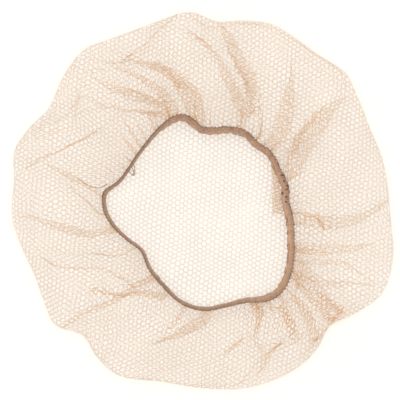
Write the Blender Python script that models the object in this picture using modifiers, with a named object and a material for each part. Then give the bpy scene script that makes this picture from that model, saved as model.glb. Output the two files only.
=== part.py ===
"""A disposable knitted hairnet lying opened out, mouth up.

The net is knitted as a flat round blank. Its middle lies flat on the ground, it turns up
round the outer edge and comes back in over itself to the mouth, where it is gathered and
sewn under a flat elastic. The elastic is one flat strip whose ends lap and are tacked.

Metres, +Z up. The origin is on the ground, under the middle of the lying net. Bearings are
degrees, counter-clockwise from +X as seen from above.
"""

import math

import bmesh
import bpy
import numpy as np
from mathutils import Vector

# The net as it lies
NET_REACH = 0.150  # middle to outer edge, mean
MOUTH_REACH = 0.0716  # middle to elastic, mean
NET_WALL = 0.001
EDGE_HEIGHT = 0.009  # height of the outermost line
NET_PUFF = 0.016  # how far the upper layer swells above a straight way in
FOLD_RISE = 0.0044
FOLD_WIDTH = 0.021
GATHER_PITCH = 0.0176  # along the elastic
GATHER_DEPTH = 0.0013
TUCK_REACH = 0.0115  # flap of net that hangs inside the mouth by the lap

# The elastic
BAND_WIDTH = 0.0052
BAND_THICK = 0.001
BAND_HEIGHT = 0.015  # its middle above the ground, mean
BAND_LAP = 0.040
BAND_EDGE_ROUND = 0.00022
SEAT_GAP = 0.0003  # clearance between touching pieces
SEAT_MARGIN = 0.0008  # net that lies flat just outside the elastic
LAP_BEARING = -14.4  # where the upper end of the elastic stops
START_SHIFT = 8.0  # degrees that the gathers lag behind the outer edge

STEPS_PER_GATHER = 4
STATION_STEP = 0.08  # widest share across between two rings of the upper layer
NET_COLOUR = (0.83, 0.62, 0.42, 1.0)
BAND_COLOUR = (0.50, 0.30, 0.19, 1.0)

# Outer edge as seen from above: reach as a share of NET_REACH, puff as a share of NET_PUFF
OUTLINE_COLUMNS = ("bearing", "reach", "puff")
OUTLINE = (
    (0, 0.990, 1.00),
    (13, 0.980, 1.04),
    (24, 0.969, 1.00),
    (34, 0.990, 0.96),
    (42, 1.018, 0.90),
    (52, 0.990, 0.98),
    (60, 0.996, 1.06),
    (68, 1.010, 1.08),
    (76, 0.988, 1.10),
    (86, 0.959, 1.12),
    (94, 1.007, 1.10),
    (104, 0.986, 1.06),
    (113, 0.980, 1.04),
    (121, 0.998, 1.04),
    (128, 1.025, 1.00),
    (137, 1.003, 0.98),
    (149, 0.960, 0.94),
    (158, 0.997, 0.92),
    (165, 1.030, 0.92),
    (174, 1.014, 0.94),
    (185, 1.015, 0.96),
    (194, 0.976, 0.96),
    (204, 0.967, 0.94),
    (213, 0.990, 0.92),
    (220, 1.028, 0.88),
    (228, 0.957, 0.92),
    (236, 0.997, 0.96),
    (244, 1.023, 0.96),
    (257, 0.989, 0.98),
    (270, 0.999, 1.00),
    (284, 1.020, 1.00),
    (300, 1.026, 0.98),
    (308, 0.992, 0.96),
    (315, 0.955, 0.94),
    (323, 1.010, 0.96),
    (333, 1.078, 0.94),
    (344, 1.052, 0.96),
    (353, 1.008, 1.00),
)

# The elastic's route: reach of MOUTH_REACH, height of BAND_HEIGHT, lean in degrees of its
# inner edge below level, and how much of TUCK_REACH hangs inside it
MOUTH_COLUMNS = ("bearing", "reach", "height", "lean", "tuck")
MOUTH = (
    (0, 0.933, 1.00, 14, 1.00),
    (10, 0.939, 1.02, 16, 1.00),
    (20, 0.933, 1.04, 22, 0.85),
    (35, 0.911, 1.02, 26, 0.00),
    (47, 0.870, 0.98, 24, 0.00),
    (59, 0.896, 1.04, 20, 0.00),
    (69, 0.862, 1.12, 16, 0.00),
    (80, 0.803, 1.20, 16, 0.00),
    (89, 0.790, 1.24, 22, 0.00),
    (95, 0.828, 1.28, 20, 0.00),
    (101, 0.945, 1.28, 16, 0.00),
    (108, 0.990, 1.20, 22, 0.00),
    (120, 0.951, 1.06, 38, 0.00),
    (135, 0.897, 0.94, 44, 0.00),
    (150, 0.881, 0.88, 46, 0.00),
    (161, 0.908, 0.88, 46, 0.00),
    (169, 0.975, 0.90, 44, 0.00),
    (175, 1.090, 0.94, 40, 0.00),
    (183, 1.102, 0.98, 38, 0.00),
    (192, 1.060, 0.96, 42, 0.00),
    (205, 0.960, 0.88, 46, 0.00),
    (219, 0.880, 0.84, 46, 0.00),
    (232, 0.943, 0.86, 44, 0.00),
    (245, 1.022, 0.92, 42, 0.00),
    (258, 1.150, 0.98, 38, 0.00),
    (270, 1.202, 1.00, 34, 0.00),
    (283, 1.188, 1.00, 30, 0.00),
    (294, 1.210, 0.98, 26, 0.00),
    (303, 1.294, 0.96, 20, 0.00),
    (311, 1.304, 0.94, 14, 0.00),
    (322, 1.220, 0.94, 10, 0.00),
    (336, 1.084, 0.96, 10, 0.00),
    (350, 0.989, 0.98, 12, 0.10),
)

# The lower layer: blank is the share of the cut blank's radius, out of the outline's reach,
# lift of EDGE_HEIGHT
UNDER_COLUMNS = ("blank", "out", "lift")
UNDER = (
    (0.00, 0.000, 0.00),
    (0.50, 0.830, 0.00),
    (0.58, 0.950, 0.36),
    (0.63, 1.000, 1.00),
)

# The upper layer, from the outer edge in to the elastic: across is 1 at the edge and 0 at
# the elastic, puff of NET_PUFF, fold and gather say how much of each shows there
OVER_COLUMNS = ("blank", "across", "puff", "fold", "gather")
OVER = (
    (0.630, 1.000, 0.00, 0.00, 0.00),
    (0.655, 0.985, 0.30, 0.10, 0.00),
    (0.685, 0.940, 0.55, 0.40, 0.00),
    (0.725, 0.860, 0.77, 0.80, 0.00),
    (0.770, 0.750, 0.92, 1.00, 0.04),
    (0.815, 0.620, 1.00, 1.00, 0.12),
    (0.855, 0.490, 1.00, 1.00, 0.28),
    (0.892, 0.360, 0.91, 1.00, 0.52),
    (0.925, 0.245, 0.74, 1.00, 0.80),
    (0.950, 0.145, 0.51, 0.80, 1.00),
    (0.970, 0.065, 0.26, 0.40, 0.80),
    (0.982, 0.000, 0.00, 0.00, 0.00),
)
SEAT_SHARE = 0.992  # blank share that lies under the elastic's middle

# Main folds of the upper layer, each from its outer end to its inner end: bearing and share
# across at both ends, widths of FOLD_WIDTH, rise of FOLD_RISE, and lean from -1 to 1, the
# side to which the fold is laid over
FOLD_COLUMNS = (
    "outer_bearing",
    "outer_across",
    "inner_bearing",
    "inner_across",
    "outer_width",
    "inner_width",
    "rise",
    "lean",
)
FOLDS = (
    (1, 1.00, 352, 0.04, 0.9, 0.8, 1.0, -0.4),
    (344, 0.80, 331, 0.02, 0.6, 0.6, 0.7, 0.3),
    (334, 0.95, 322, 0.02, 0.7, 0.7, 0.8, -0.3),
    (323, 0.80, 314, 0.05, 1.0, 0.8, 1.1, 0.4),
    (310, 0.84, 306, 0.06, 1.1, 0.8, 1.1, -0.4),
    (292, 0.62, 296, 0.05, 0.9, 0.8, 0.9, 0.2),
    (284, 1.00, 299, 0.60, 0.8, 0.8, 0.8, 0.4),
    (250, 0.60, 274, 0.05, 0.7, 1.1, 0.8, -0.2),
    (221, 1.00, 237, 0.02, 0.9, 0.8, 1.0, 0.3),
    (219, 0.50, 245, 0.04, 0.6, 0.6, 0.6, -0.3),
    (197, 0.92, 226, 0.20, 0.5, 0.6, 0.5, 0.2),
    (185, 0.95, 199, 0.04, 0.7, 0.8, 0.9, 0.5),
    (169, 0.66, 177, 0.02, 0.6, 0.6, 0.6, -0.3),
    (170, 0.86, 130, 0.14, 0.5, 0.5, 0.6, 0.4),
    (157, 0.94, 115, 0.05, 0.5, 0.6, 0.5, -0.3),
    (146, 1.00, 126, 0.40, 0.7, 0.5, 0.6, 0.2),
    (132, 0.92, 112, 0.08, 0.7, 0.8, 1.0, 0.4),
    (122, 0.84, 103, 0.20, 0.7, 0.9, 1.0, -0.4),
    (108, 0.66, 77, 0.10, 1.2, 1.0, 1.0, 0.4),
    (94, 0.84, 69, 0.04, 1.0, 0.9, 1.0, -0.4),
    (84, 0.92, 49, 0.08, 1.0, 0.9, 1.1, 0.5),
    (58, 0.82, 37, 0.10, 0.5, 1.2, 0.9, -0.4),
    (35, 0.94, 23, 0.05, 0.8, 1.2, 1.2, 0.4),
)
FOLD_FADE = 0.16  # share of a fold's run over which it rises and dies away
FOLD_LAY = 0.45  # share of its half width by which a fold of lean 1 is laid over


def between(place, start, span, ends, slope_in, slope_out):
    """Height at a place of the smooth curve between two rows of a table."""
    s = (place - start) / span
    level = ends[0] + (ends[1] - ends[0]) * s * s * (3 - 2 * s)
    return level + span * s * (1 - s) * (slope_in * (1 - s) - slope_out * s)


def round_table(rows, columns):
    """Returns a function of (column, bearing): a smooth closed curve through the rows."""
    bearings = [row[0] for row in rows]
    count = len(rows)

    def slope(values, i):
        before, after = (i - 1) % count, (i + 1) % count
        span = (bearings[after] - bearings[before]) % 360
        return (values[after] - values[before]) / span

    def read(column, bearing):
        values = [row[columns.index(column)] for row in rows]
        bearing %= 360
        i = max(k for k in range(count) if bearings[k] <= bearing)
        j = (i + 1) % count
        span = (bearings[j] - bearings[i]) % 360
        ends = (values[i], values[j])
        return between(bearing, bearings[i], span, ends, slope(values, i), slope(values, j))

    return read


def line_table(rows, columns):
    """Returns a function of (column, share): a smooth curve through the rows."""
    shares = [row[0] for row in rows]
    last = len(rows) - 1

    def slope(values, i):
        before, after = max(i - 1, 0), min(i + 1, last)
        return (values[after] - values[before]) / (shares[after] - shares[before])

    def read(column, share):
        values = [row[columns.index(column)] for row in rows]
        if share >= shares[last]:
            return values[last]
        i = max(k for k in range(last) if shares[k] <= share)
        span = shares[i + 1] - shares[i]
        return between(share, shares[i], span, values[i : i + 2], slope(values, i), slope(values, i + 1))

    return read


outline = round_table(OUTLINE, OUTLINE_COLUMNS)
mouth = round_table(MOUTH, MOUTH_COLUMNS)
under = line_table(UNDER, UNDER_COLUMNS)
over = line_table(OVER, OVER_COLUMNS)


def on_level(bearing, reach, height=0.0):
    """A point at a bearing and a distance from the middle."""
    angle = math.radians(bearing)
    return Vector((reach * math.cos(angle), reach * math.sin(angle), height))


def mouth_spots():
    """Bearings that divide the elastic's route into short equal lengths, and its length."""
    bearings = np.linspace(0, 360, 1441)
    spots = [on_level(b, MOUTH_REACH * mouth("reach", b)) for b in bearings]
    runs = [(spots[i + 1] - spots[i]).length for i in range(len(spots) - 1)]
    return bearings, np.concatenate([[0.0], np.cumsum(runs)])


MOUTH_BEARINGS, MOUTH_LENGTHS = mouth_spots()
MOUTH_LENGTH = float(MOUTH_LENGTHS[-1])
GATHERS = round(MOUTH_LENGTH / GATHER_PITCH)
AROUND = STEPS_PER_GATHER * GATHERS


def mouth_bearing(turn):
    """Bearing on the elastic's route after a share of its length, from bearing 0."""
    length = (turn % 1) * MOUTH_LENGTH
    return float(np.interp(length, MOUTH_LENGTHS, MOUTH_BEARINGS))


def mouth_turn(bearing):
    """Share of the elastic's length that lies between bearing 0 and this one."""
    return float(np.interp(bearing % 360, MOUTH_BEARINGS, MOUTH_LENGTHS)) / MOUTH_LENGTH


def band_frame(turn):
    """Middle of the elastic, its way in across the width, and its upper side's way up."""
    bearing = mouth_bearing(turn)
    step = 0.5
    height = BAND_HEIGHT * mouth("height", bearing)
    middle = on_level(bearing, MOUTH_REACH * mouth("reach", bearing), height)
    ahead = on_level(bearing + step, MOUTH_REACH * mouth("reach", bearing + step))
    behind = on_level(bearing - step, MOUTH_REACH * mouth("reach", bearing - step))
    along = (ahead - behind).normalized()
    outward = Vector((along.y, -along.x, 0))
    lean = math.radians(mouth("lean", bearing))
    inward = outward * -math.cos(lean) - Vector((0, 0, math.sin(lean)))
    upward = Vector((0, 0, math.cos(lean))) - outward * math.sin(lean)
    return middle, inward, upward


def seat(turn, inset):
    """A point of the net under the elastic, inset from the middle of its width."""
    middle, inward, upward = band_frame(turn)
    return middle + inward * inset - upward * (BAND_THICK / 2 + SEAT_GAP)


def ease(share):
    """0 to 1 with a soft start and end."""
    share = min(max(share, 0.0), 1.0)
    return share * share * (3 - 2 * share)


def fold_lift(bearing, across, reach):
    """How high the main folds stand at a place on the upper layer, as a share of FOLD_RISE."""
    lift = 0.0
    for row in FOLDS:
        fold = dict(zip(FOLD_COLUMNS, row))
        run = fold["outer_across"] - fold["inner_across"]
        share = (fold["outer_across"] - across) / run
        if share <= 0 or share >= 1:
            continue
        turn = (fold["inner_bearing"] - fold["outer_bearing"] + 180) % 360 - 180
        middle = fold["outer_bearing"] + turn * share
        aside = math.radians((bearing - middle + 180) % 360 - 180) * reach
        width = fold["outer_width"] + (fold["inner_width"] - fold["outer_width"]) * share
        half = width * FOLD_WIDTH / 2
        half *= 1 + FOLD_LAY * fold["lean"] * (1 if aside > 0 else -1)
        side = 1 - abs(aside) / half
        fade = ease(share / FOLD_FADE) * ease((1 - share) / FOLD_FADE)
        lift = max(lift, fold["rise"] * fade * ease(side))
    return lift


def smooth_net(share, bearing):
    """Where a point of the blank lies, before folds and gathers are raised."""
    if share <= UNDER[-1][0]:
        reach = NET_REACH * outline("reach", bearing) * under("out", share)
        return on_level(bearing, reach, EDGE_HEIGHT * under("lift", share))
    turn = (bearing - START_SHIFT) / 360
    first_seat = -BAND_WIDTH / 2 - SEAT_MARGIN
    if share >= OVER[-1][0]:
        tuck = TUCK_REACH * mouth("tuck", mouth_bearing(turn))
        last_seat = (BAND_WIDTH / 2 + tuck) if tuck > 0.1 * TUCK_REACH else SEAT_MARGIN
        inset = np.interp(share, (OVER[-1][0], SEAT_SHARE, 1.0), (first_seat, 0.0, last_seat))
        return seat(turn, float(inset))
    inner = seat(turn, first_seat)
    outer = on_level(bearing, NET_REACH * outline("reach", bearing), EDGE_HEIGHT)
    spot = inner.lerp(outer, over("across", share))
    spot.z += NET_PUFF * outline("puff", bearing) * over("puff", share)
    return spot


def draped(share, bearing):
    """Where a point of the blank lies: share of its radius, and bearing."""
    spot = smooth_net(share, bearing)
    if share <= UNDER[-1][0] or share >= OVER[-1][0]:
        return spot
    step_out, step_round = 0.004, 1.5
    radial = smooth_net(share + step_out, bearing) - smooth_net(share - step_out, bearing)
    level = smooth_net(share, bearing + step_round) - smooth_net(share, bearing - step_round)
    upward = level.cross(radial).normalized()
    if upward.z < 0:
        upward.negate()
    reach = math.hypot(spot.x, spot.y)
    seen = math.degrees(math.atan2(spot.y, spot.x)) % 360
    across = over("across", share)
    folds = FOLD_RISE * over("fold", share) * fold_lift(seen, across, reach)
    wave = math.cos(math.radians(GATHERS * (bearing - START_SHIFT)))
    gathers = GATHER_DEPTH * over("gather", share) * wave
    return spot + upward * (folds + gathers)


def plain_material(name, colour, roughness):
    """A material with one Principled shader."""
    material = bpy.data.materials.new(name)
    material.use_nodes = True
    shader = material.node_tree.nodes["Principled BSDF"]
    shader.inputs["Base Color"].default_value = colour
    shader.inputs["Roughness"].default_value = roughness
    shader.inputs["Metallic"].default_value = 0.0
    return material


def evaluated_copy(source, name):
    """The mesh of an object with its modifiers made real, in a new object. Removes the source."""
    graph = bpy.context.evaluated_depsgraph_get()
    graph.update()
    mesh = bpy.data.meshes.new_from_object(source.evaluated_get(graph))
    mesh.name = name
    bpy.data.objects.remove(source)
    return bpy.data.objects.new(name, mesh)


def blank_rings():
    """Shares of the blank's radius at which its rings of faces meet."""
    shares = [row[0] for row in UNDER]
    for start, end in zip(OVER, OVER[1:]):
        parts = math.ceil((start[1] - end[1]) / STATION_STEP - 0.01)
        shares += [start[0] + (end[0] - start[0]) * (i + 1) / parts for i in range(parts)]
    return shares + [SEAT_SHARE, 1.0]


def flat_blank(collection):
    """The net as it is cut: a flat disc turned from a straight line, its underside outward."""
    shares = blank_rings()
    mesh = bpy.data.meshes.new("blank_radius")
    links = [(i, i + 1) for i in range(len(shares) - 1)]
    mesh.from_pydata([(share, 0.0, 0.0) for share in shares], links, [])
    line = bpy.data.objects.new("blank_radius", mesh)
    collection.objects.link(line)
    turn = line.modifiers.new("turn", "SCREW")
    turn.axis = "Z"
    turn.angle = 2 * math.pi
    turn.steps = AROUND
    turn.render_steps = AROUND
    turn.use_merge_vertices = True
    turn.merge_threshold = 0.0001
    return evaluated_copy(line, "net_crown")


def add_wall(piece, thickness, offset):
    """Gives an open surface its wall."""
    wall = piece.modifiers.new("wall", "SOLIDIFY")
    wall.thickness = thickness
    wall.offset = offset
    wall.use_rim = True


def make_net_crown(collection):
    """The bag of net, one wall with an open mouth."""
    net = flat_blank(collection)
    collection.objects.link(net)
    shape = bmesh.new()
    shape.from_mesh(net.data)
    bmesh.ops.remove_doubles(shape, verts=shape.verts, dist=0.0001)
    for vertex in shape.verts:
        share = math.hypot(vertex.co.x, vertex.co.y)
        bearing = math.degrees(math.atan2(vertex.co.y, vertex.co.x)) % 360
        vertex.co = draped(share, bearing)
    lowest = min(shape.faces, key=lambda face: face.calc_center_median().length)
    if lowest.normal.z > 0:
        bmesh.ops.reverse_faces(shape, faces=shape.faces)
    shape.to_mesh(net.data)
    shape.free()
    net.data.shade_smooth()
    add_wall(net, NET_WALL, -1.0)
    net.data.materials.append(plain_material("net", NET_COLOUR, 0.7))
    return net


def lap_level(step, lap_steps):
    """How far the elastic is lifted off its seat, step by step from its upper end."""
    ramp_steps = 3
    full = BAND_THICK + SEAT_GAP
    return full * (1 - ease((step - lap_steps - 1) / ramp_steps))


def make_elastic_band(collection):
    """The flat elastic: a strip laid once round the mouth with its ends lapped."""
    lap_steps = round(BAND_LAP / MOUTH_LENGTH * AROUND)
    steps = AROUND + lap_steps
    start = mouth_turn(LAP_BEARING)
    shape = bmesh.new()
    bmesh.ops.create_grid(shape, x_segments=steps, y_segments=2, size=0.5)
    for vertex in shape.verts:
        step = round((vertex.co.x + 0.5) * steps)
        side = vertex.co.y * 2
        middle, inward, upward = band_frame(start + step / AROUND)
        spot = middle + inward * (side * BAND_WIDTH / 2)
        vertex.co = spot + upward * lap_level(step, lap_steps)
    mesh = bpy.data.meshes.new("elastic_band")
    shape.to_mesh(mesh)
    shape.free()
    band = bpy.data.objects.new("elastic_band", mesh)
    collection.objects.link(band)
    mesh.shade_smooth()
    add_wall(band, BAND_THICK, 0.0)
    edge = band.modifiers.new("rounded_edges", "BEVEL")
    edge.width = BAND_EDGE_ROUND
    edge.segments = 1
    edge.limit_method = "ANGLE"
    edge.angle_limit = math.radians(50)
    mesh.materials.append(plain_material("elastic", BAND_COLOUR, 0.8))
    return band


def centre_on_origin(pieces):
    """Shifts the pieces together so that the net's outline is centred over the origin."""
    spots = [vertex.co for vertex in pieces[0].data.vertices]
    middle_x = (min(s.x for s in spots) + max(s.x for s in spots)) / 2
    middle_y = (min(s.y for s in spots) + max(s.y for s in spots)) / 2
    for piece in pieces:
        for vertex in piece.data.vertices:
            vertex.co.x -= middle_x
            vertex.co.y -= middle_y


def main():
    for item in list(bpy.data.objects):
        bpy.data.objects.remove(item)
    collection = bpy.data.collections.new("hairnet")
    bpy.context.scene.collection.children.link(collection)
    pieces = [make_net_crown(collection), make_elastic_band(collection)]
    centre_on_origin(pieces)


main()
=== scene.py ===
import math

import bmesh
import bpy
import numpy as np
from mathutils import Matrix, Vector


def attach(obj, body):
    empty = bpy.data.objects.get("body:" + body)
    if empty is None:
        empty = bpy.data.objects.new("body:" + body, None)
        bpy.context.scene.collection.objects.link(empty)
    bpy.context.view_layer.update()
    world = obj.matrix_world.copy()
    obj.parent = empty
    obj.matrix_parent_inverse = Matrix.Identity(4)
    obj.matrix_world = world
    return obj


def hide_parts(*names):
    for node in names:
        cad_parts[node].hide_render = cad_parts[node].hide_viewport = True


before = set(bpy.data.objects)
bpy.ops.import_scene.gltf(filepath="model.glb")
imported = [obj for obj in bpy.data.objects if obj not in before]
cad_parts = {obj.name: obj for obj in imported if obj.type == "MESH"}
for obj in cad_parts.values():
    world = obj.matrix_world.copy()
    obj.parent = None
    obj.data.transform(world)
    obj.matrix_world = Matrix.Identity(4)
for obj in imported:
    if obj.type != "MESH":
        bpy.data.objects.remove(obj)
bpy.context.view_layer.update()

# Studio
# The hairnet lies on a white table in even light and is seen from straight above through a
# long lens, so that its raised mouth hardly grows. The table glows a little, past white.
METRES_PER_PIXEL = 0.0008
PICTURE_PIXELS = 400
CAMERA_LENS = 150.0
SENSOR_WIDTH = 36.0
CAMERA_CENTRE = (-0.0020, 0.0006)
NET_MID_HEIGHT = 0.010
TABLE_SIZE = 6.0
TABLE_GAP = 0.0002
TABLE_WHITE = 0.64
TABLE_GLOW = 0.38
TABLE_ROUGHNESS = 0.9
LAMP_COLOUR = (1.0, 0.938, 0.88)
DOME_STRENGTH = 0.88
KEY_SIZE = 1.6
KEY_POWER = 13.6
KEY_PLACE = (-0.10, 0.14, 1.80)

camera_data = bpy.data.cameras.new("camera")
camera_data.lens = CAMERA_LENS
camera_data.sensor_width = SENSOR_WIDTH
camera_distance = PICTURE_PIXELS * METRES_PER_PIXEL * CAMERA_LENS / SENSOR_WIDTH
camera = bpy.data.objects.new("camera", camera_data)
camera.location = (*CAMERA_CENTRE, NET_MID_HEIGHT + camera_distance)
bpy.context.scene.collection.objects.link(camera)
bpy.context.scene.camera = camera
bpy.context.scene.view_settings.view_transform = "Standard"

bpy.ops.object.select_all(action="DESELECT")
bpy.ops.mesh.primitive_plane_add(size=TABLE_SIZE, location=(0, 0, -TABLE_GAP))
table = bpy.context.object
table.name = "table"
table_paint = bpy.data.materials.new("white_table")
table_paint.use_nodes = True
table_shader = table_paint.node_tree.nodes["Principled BSDF"]
table_shader.inputs["Base Color"].default_value = (TABLE_WHITE, TABLE_WHITE, TABLE_WHITE, 1)
table_shader.inputs["Emission Color"].default_value = (*LAMP_COLOUR, 1)
table_shader.inputs["Emission Strength"].default_value = TABLE_GLOW
table_shader.inputs["Roughness"].default_value = TABLE_ROUGHNESS
table_shader.inputs["Specular IOR Level"].default_value = 0.0
table.data.materials.append(table_paint)

dome = bpy.data.worlds.new("warm_dome")
dome.use_nodes = True
dome.node_tree.nodes["Background"].inputs["Color"].default_value = (*LAMP_COLOUR, 1)
dome.node_tree.nodes["Background"].inputs["Strength"].default_value = DOME_STRENGTH
bpy.context.scene.world = dome

key_data = bpy.data.lights.new("soft_key", "AREA")
key_data.shape = "SQUARE"
key_data.size = KEY_SIZE
key_data.energy = KEY_POWER
key_data.color = LAMP_COLOUR
key = bpy.data.objects.new("soft_key", key_data)
key.location = KEY_PLACE
key.rotation_euler = (-Vector(KEY_PLACE)).to_track_quat("-Z", "Y").to_euler()
bpy.context.scene.collection.objects.link(key)

# Lower layer of the net
# The bag is one round blank of tan nylon knitted net with honeycomb cells. Its middle lies
# loosely on the table and its edge turns up round the outline. One cell is repeated into a
# sheet, cut round and laid, and every cell wall then becomes a thread, thick at its knots.
NET_REACH = 0.150
EDGE_HEIGHT = 0.009
EDGE_TURN = 0.022
BLANK_RADIUS = 0.222
CELL_PITCH = 0.00393
CELL_LEAN = math.radians(86.0)
KNOT_THICK = 0.00076
THREAD_SHARE = 0.68
SMOOTH_ANGLE = math.radians(100)
LOOSE_LIFT = 0.0009
LOOSE_LENGTH = 0.038
YARN_ROUGHNESS = 0.55
YARN_SPECULAR = 0.25
YARN_SHEEN = 0.15
# Open yarn colour, and the darker colour painted as shade in folds, creases and bunches of net
OPEN_COLOUR = (0.945, 0.91, 0.845, 1)
FOLD_SHADE_COLOUR = (0.80, 0.505, 0.265, 1)

# The outline at bearings in degrees, counter-clockwise from +X: its reach, and how much the
# upper layer swells there, as shares
OUTLINE_COLUMNS = ("bearing", "reach", "puff")
OUTLINE = (
    (0, 0.990, 1.00), (13, 0.980, 1.04), (24, 0.969, 1.00), (34, 0.990, 0.96),
    (42, 1.018, 0.90), (52, 0.990, 0.98), (60, 0.996, 1.06), (68, 1.010, 1.08),
    (76, 0.988, 1.10), (86, 0.959, 1.12), (94, 1.007, 1.10), (104, 0.986, 1.06),
    (113, 0.980, 1.04), (121, 0.998, 1.04), (128, 1.025, 1.00), (137, 1.003, 0.98),
    (149, 0.960, 0.94), (158, 1.009, 0.92), (165, 1.040, 0.92), (174, 1.014, 0.94),
    (185, 1.023, 0.96), (194, 1.000, 0.96), (204, 0.983, 0.94), (213, 1.007, 0.92),
    (220, 1.028, 0.88), (228, 0.964, 0.92), (236, 1.009, 0.96), (244, 1.034, 0.96),
    (257, 0.989, 0.98), (270, 0.999, 1.00), (284, 1.024, 1.00), (300, 1.020, 0.98),
    (308, 0.992, 0.96), (315, 0.948, 0.94), (323, 1.004, 0.96), (333, 1.072, 0.94),
    (344, 1.052, 0.96), (353, 1.008, 1.00),
)

# How far the cells stray from their places, over which length, and the waves' seed
SLACK = ((0.0011, 0.050, 11), (0.00032, 0.014, 21), (0.00012, 0.0052, 31))

# How thick the thread is in the lower and the upper layer, as shares
YARN_COLUMNS = ("bearing", "lower", "upper")
YARN = (
    (0, 1.48, 0.44), (60, 1.48, 0.45), (120, 1.48, 0.46), (180, 1.48, 0.48), (240, 1.48, 0.48),
    (300, 1.48, 0.46),
)


def round_table(rows, columns):
    """Smooth closed curves through a table's rows, read as table(column, bearings)."""
    steps = np.arange(0.0, 360.0, 0.25)
    bearings = np.array([row[0] for row in rows], float)
    last = np.searchsorted(bearings, steps, side="right") - 1
    after = (last + 1) % len(rows)
    span = (bearings[after] - bearings[last]) % 360
    s = (steps - bearings[last]) / span
    around = (np.roll(bearings, -1) - np.roll(bearings, 1)) % 360
    curves = {}
    for number, column in enumerate(columns[1:], 1):
        values = np.array([row[number] for row in rows], float)
        slopes = (np.roll(values, -1) - np.roll(values, 1)) / around
        level = values[last] + (values[after] - values[last]) * s * s * (3 - 2 * s)
        bend = s * (1 - s) * (slopes[last] * (1 - s) - slopes[after] * s)
        curves[column] = np.append(level + span * bend, values[0])

    def read(column, bearing):
        return np.interp(np.asarray(bearing) % 360, np.append(steps, 360.0), curves[column])

    return read


outline = round_table(OUTLINE, OUTLINE_COLUMNS)
yarn = round_table(YARN, YARN_COLUMNS)


def on_level(bearing, reach):
    """Points at bearings and reaches, as rows of x and y."""
    angle = np.radians(bearing)
    return np.stack([reach * np.cos(angle), reach * np.sin(angle)], axis=-1)


edge_bearings = np.linspace(0, 360, 1441)
edge_path = on_level(edge_bearings, NET_REACH * outline("reach", edge_bearings))
lying_centre = (edge_path.max(axis=0) + edge_path.min(axis=0)) / 2

# Arc lengths along the turned-up edge, which is a quarter of an ellipse
quarter = np.linspace(0, math.pi / 2, 200)
quarter_out = EDGE_TURN * np.sin(quarter)
quarter_up = EDGE_HEIGHT * (1 - np.cos(quarter))
quarter_runs = np.hypot(np.diff(quarter_out), np.diff(quarter_up))
quarter_lengths = np.concatenate([[0.0], np.cumsum(quarter_runs)])
EDGE_LENGTH = float(quarter_lengths[-1])


def ripples(x, y, length, seed):
    """Gentle waves of about one length over places, from -1 to 1."""
    chance = np.random.default_rng(seed)
    total = np.zeros(np.shape(x))
    waves = 7
    for wave in range(waves):
        way = chance.uniform(0, 2 * math.pi)
        pace = 2 * math.pi / (length * chance.uniform(0.7, 1.4))
        start = chance.uniform(0, 2 * math.pi)
        total += np.sin(pace * (x * math.cos(way) + y * math.sin(way)) + start)
    return total / math.sqrt(2 * waves)


def read_points(piece):
    """A mesh's points as rows of x, y and z."""
    spots = np.empty(len(piece.data.vertices) * 3)
    piece.data.vertices.foreach_get("co", spots)
    return spots.reshape(-1, 3)


def write_points(piece, spots):
    """Moves a mesh's points to rows of x, y and z."""
    piece.data.vertices.foreach_set("co", np.ascontiguousarray(spots, dtype=np.float32).ravel())
    piece.data.update()


def honeycomb(name, width, height):
    """A flat sheet of joined hexagonal cells about the middle."""
    cell_radius = CELL_PITCH / math.sqrt(3)
    row_step = cell_radius * 1.5
    reach = math.hypot(width, height) / 2
    columns = 2 * math.ceil(reach / CELL_PITCH) + 2
    row_pairs = math.ceil(reach / row_step) + 1
    bpy.ops.object.select_all(action="DESELECT")
    bpy.ops.mesh.primitive_circle_add(vertices=6, radius=cell_radius, fill_type="NGON")
    sheet = bpy.context.object
    sheet.name = name
    repeats = (
        ("cells", columns, (CELL_PITCH, 0, 0)),
        ("odd_row", 2, (CELL_PITCH / 2, row_step, 0)),
        ("rows", row_pairs, (0, 2 * row_step, 0)),
    )
    for label, count, step in repeats:
        repeat = sheet.modifiers.new(label, "ARRAY")
        repeat.use_relative_offset = False
        repeat.use_constant_offset = True
        repeat.constant_offset_displace = step
        repeat.count = count
        bpy.ops.object.modifier_apply(modifier=label)
    bpy.ops.object.mode_set(mode="EDIT")
    bpy.ops.mesh.select_all(action="SELECT")
    bpy.ops.mesh.remove_doubles(threshold=cell_radius * 0.1)
    bpy.ops.object.mode_set(mode="OBJECT")
    spots = read_points(sheet)
    x = spots[:, 0] - columns // 2 * CELL_PITCH
    y = spots[:, 1] - row_pairs * row_step
    spots[:, 0] = x * math.cos(CELL_LEAN) - y * math.sin(CELL_LEAN)
    spots[:, 1] = x * math.sin(CELL_LEAN) + y * math.cos(CELL_LEAN)
    write_points(sheet, spots)
    return sheet


def keep_cells(sheet, wanted):
    """Deletes the cells whose middle isn't wanted, and gives the numbers of the knots kept."""
    shape = bmesh.new()
    shape.from_mesh(sheet.data)
    middles = np.array([face.calc_center_median()[:2] for face in shape.faces])
    cells = list(zip(shape.faces, wanted(middles)))
    knots = sorted({knot.index for face, keep in cells if keep for knot in face.verts})
    bmesh.ops.delete(shape, geom=[face for face, keep in cells if not keep], context="FACES")
    shape.to_mesh(sheet.data)
    shape.free()
    return knots


def shade_points(piece, shades):
    """Gives a mesh's points their share of the darker yarn colour: painted shade and tone."""
    piece.data.attributes.new("tone_and_shade", "FLOAT", "POINT").data.foreach_set("value", shades)


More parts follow.
